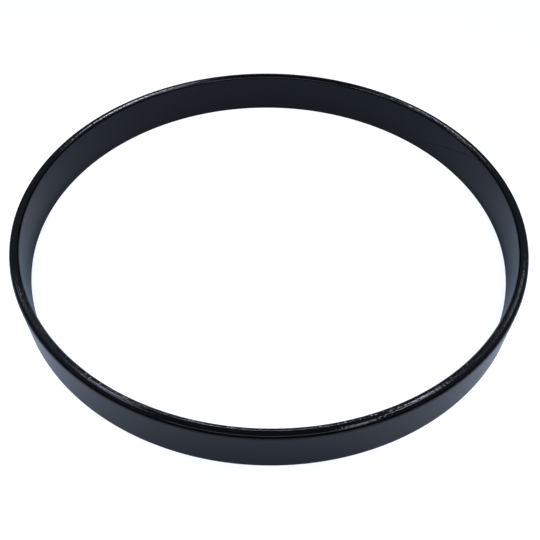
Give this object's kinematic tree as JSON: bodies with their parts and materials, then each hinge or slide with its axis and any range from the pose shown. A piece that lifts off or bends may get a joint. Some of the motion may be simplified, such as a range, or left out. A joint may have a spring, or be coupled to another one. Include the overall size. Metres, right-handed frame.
{
  "type": "bass drum hoop",
  "caption": "Round bass drum hoop of laminated maple plies with a bullnose rim and a flat foot, sprayed in gloss black lacquer.",
  "frame": {"origin": "centre of the hoop in the plane of its foot, the flat edge that presses on the drumhead", "axes": "+Z along the hoop's axis, from the foot to the rounded rim; +X to the viewer's right, +Y away from the viewer"},
  "size_m": [0.59, 0.59, 0.054],
  "materials": {
    "lacquered_face_veneer": "gloss black lacquer over filled maple",
    "lacquered_core_veneer": "gloss black lacquer over open ply edges"
  },
  "bodies": {
    "root": {"inner_face_ply": "lacquered_face_veneer", "cross_ply_2_strip_a": "lacquered_core_veneer", "cross_ply_2_strip_b": "lacquered_core_veneer", "long_ply_3": "lacquered_core_veneer", "cross_ply_4_strip_a": "lacquered_core_veneer", "cross_ply_4_strip_b": "lacquered_core_veneer", "long_ply_5": "lacquered_core_veneer", "cross_ply_6_strip_a": "lacquered_core_veneer", "cross_ply_6_strip_b": "lacquered_core_veneer", "long_ply_7": "lacquered_core_veneer", "cross_ply_8_strip_a": "lacquered_core_veneer", "cross_ply_8_strip_b": "lacquered_core_veneer", "outer_face_ply": "lacquered_face_veneer"}
  },
  "joints": []
}
